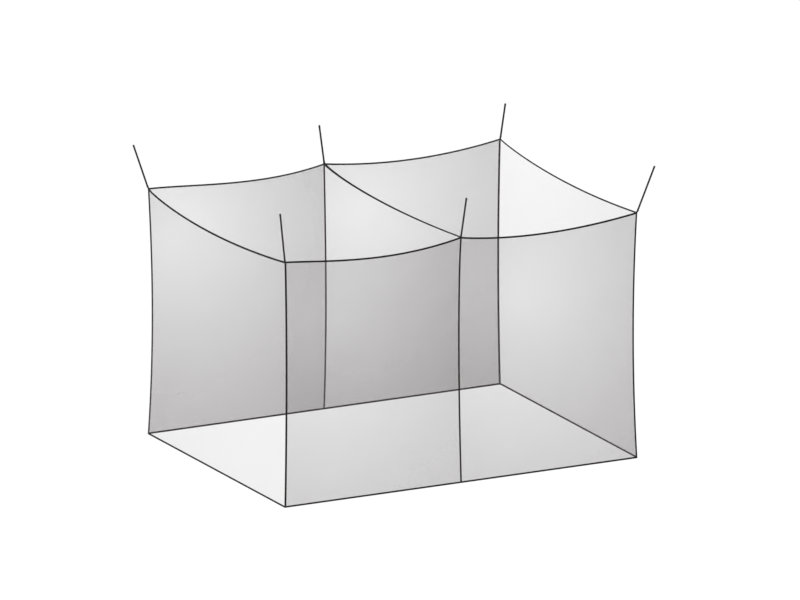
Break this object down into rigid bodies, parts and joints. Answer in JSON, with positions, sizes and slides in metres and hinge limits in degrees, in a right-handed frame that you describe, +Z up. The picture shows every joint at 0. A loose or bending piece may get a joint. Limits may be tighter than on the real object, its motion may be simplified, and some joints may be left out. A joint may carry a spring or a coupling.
{
  "type": "mosquito net canopy",
  "caption": "Rectangular bed net of fine sheer mesh with dark taped seams, hung by cords from its top edge and open underneath.",
  "frame": {"origin": "midway between the places of the ceiling hooks, level with the highest cord's end; the net hangs below it and its bottom edge is 1.818 m down", "axes": "+X along the bed, from the left end wall to the right one; +Y across the bed, from the front wall to the back one; +Z up"},
  "size_m": [2.4726, 1.9155, 1.8195],
  "materials": {
    "netting": "sheer charcoal-grey knitted polyester mesh, matt",
    "binding_tape": "near-black woven polyester tape, matt, stitched",
    "braided_cord": "near-black braided polyester cord, matt"
  },
  "bodies": {
    "root": {"roof_left": "netting", "roof_right": "netting", "wall_front_left": "netting", "wall_front_right": "netting", "wall_back_left": "netting", "wall_back_right": "netting", "wall_end_left": "netting", "wall_end_right": "netting", "top_binding": "binding_tape", "hem_binding": "binding_tape", "roof_seam_tape": "binding_tape", "seam_tape_back_left": "binding_tape", "seam_tape_back_middle": "binding_tape", "seam_tape_back_right": "binding_tape", "seam_tape_front_left": "binding_tape", "seam_tape_front_middle": "binding_tape", "seam_tape_front_right": "binding_tape", "cord_back_left": "braided_cord", "cord_back_middle": "braided_cord", "cord_back_right": "braided_cord", "cord_front_left": "braided_cord", "cord_front_middle": "braided_cord", "cord_front_right": "braided_cord"}
  },
  "joints": []
}
